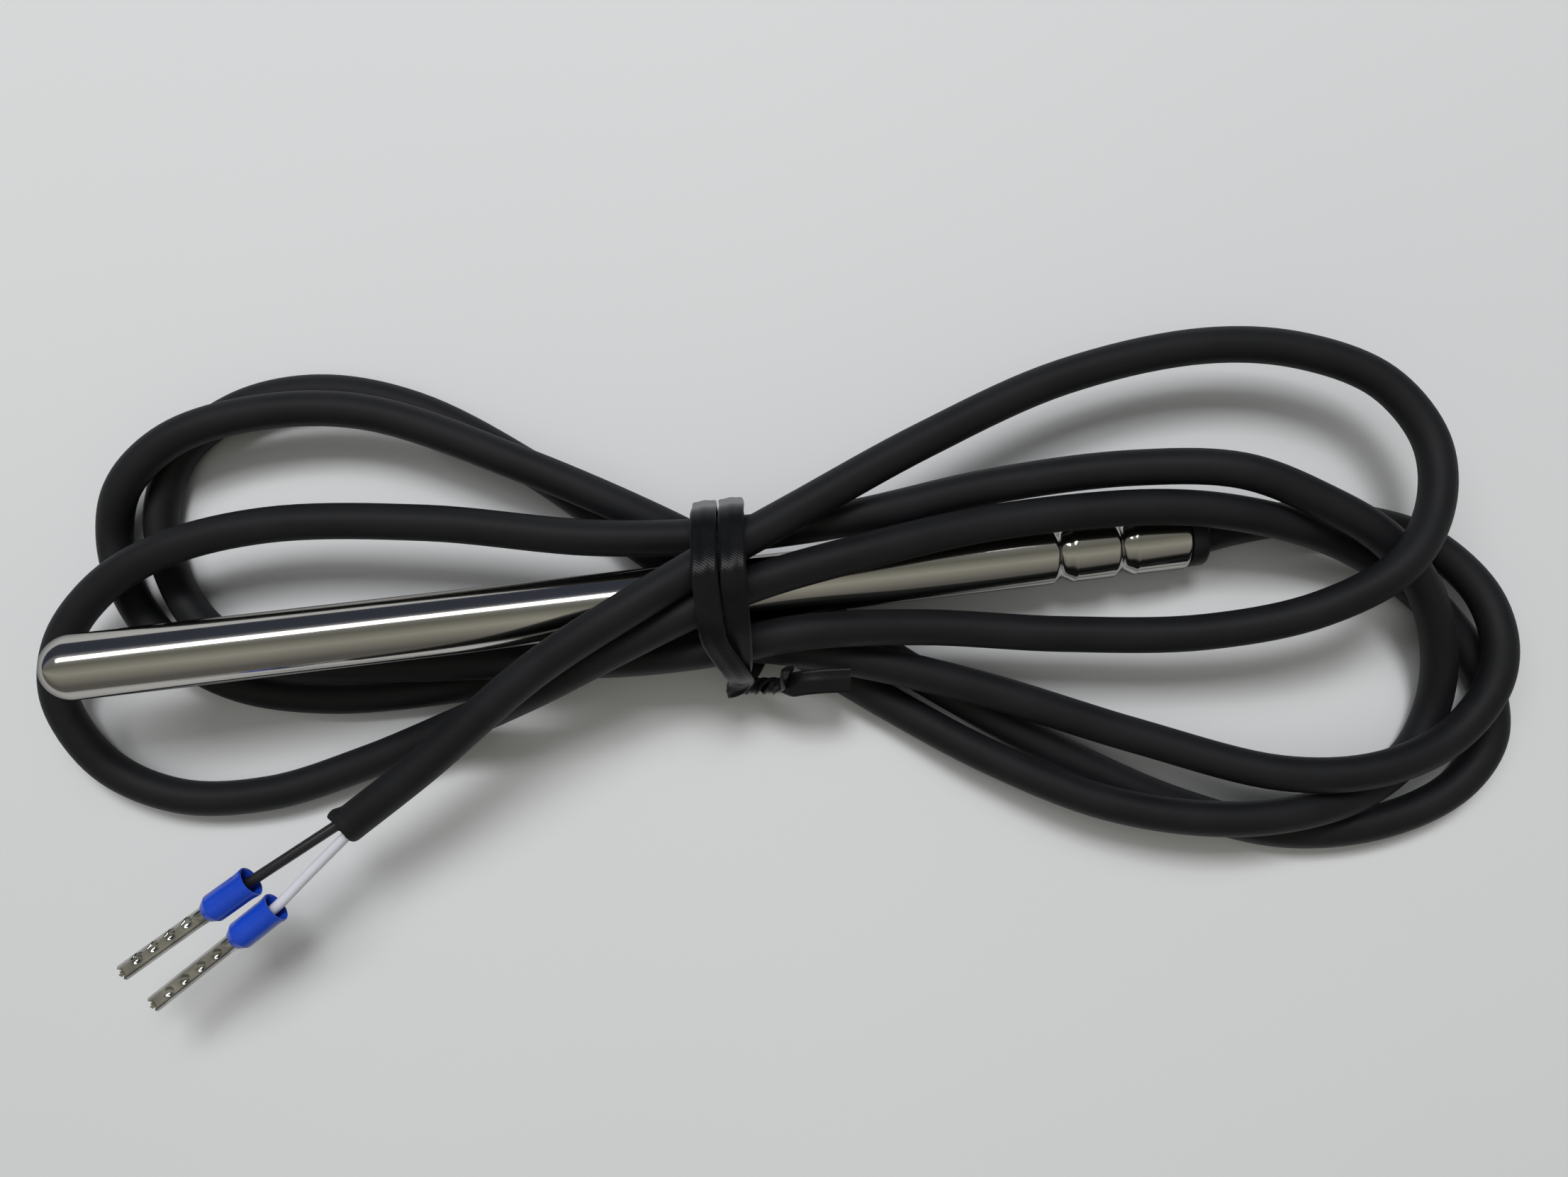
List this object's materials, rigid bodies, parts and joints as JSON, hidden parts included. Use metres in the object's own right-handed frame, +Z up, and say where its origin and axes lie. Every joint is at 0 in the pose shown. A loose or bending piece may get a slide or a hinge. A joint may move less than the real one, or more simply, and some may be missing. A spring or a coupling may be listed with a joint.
{
  "type": "temperature probe",
  "caption": "Round-tipped steel temperature probe tube on a thin black cable, hanked and tied, with two cores ending in blue bootlace ferrules.",
  "frame": {"origin": "on the plane the hank lies on, below the middle of the probe tube and tie", "axes": "+X along the probe tube from its round tip towards the cable, +Z up from the plane the hank lies on"},
  "size_m": [0.1415, 0.0579, 0.0174],
  "materials": {
    "tube_steel": "polished",
    "sleeve_rubber": "matte",
    "cable_jacket": "satin",
    "black_core": "satin",
    "white_core": "satin",
    "blue_collar": "glossy",
    "tinned_copper": "satin metal",
    "resin": "satin",
    "bead_glaze": "glazed",
    "heat_shrink": "satin",
    "tie_plastic": "semi-gloss"
  },
  "bodies": {
    "root": {"probe_tube": "tube_steel", "end_sleeve": "sleeve_rubber", "potting_plug": "resin", "tip_compound": "resin", "thermistor_bead": "bead_glaze", "inner_core_black": "black_core", "inner_core_white": "white_core", "splice_black": "tinned_copper", "splice_white": "tinned_copper", "splice_shrink_black": "heat_shrink", "splice_shrink_white": "heat_shrink", "lead_black": "tinned_copper", "lead_white": "tinned_copper", "cable": "cable_jacket", "core_black": "black_core", "core_white": "white_core", "collar_black": "blue_collar", "collar_white": "blue_collar", "pin_black": "tinned_copper", "pin_white": "tinned_copper", "strands_black": "tinned_copper", "strands_white": "tinned_copper", "tie_ribbon": "tie_plastic"}
  },
  "joints": []
}
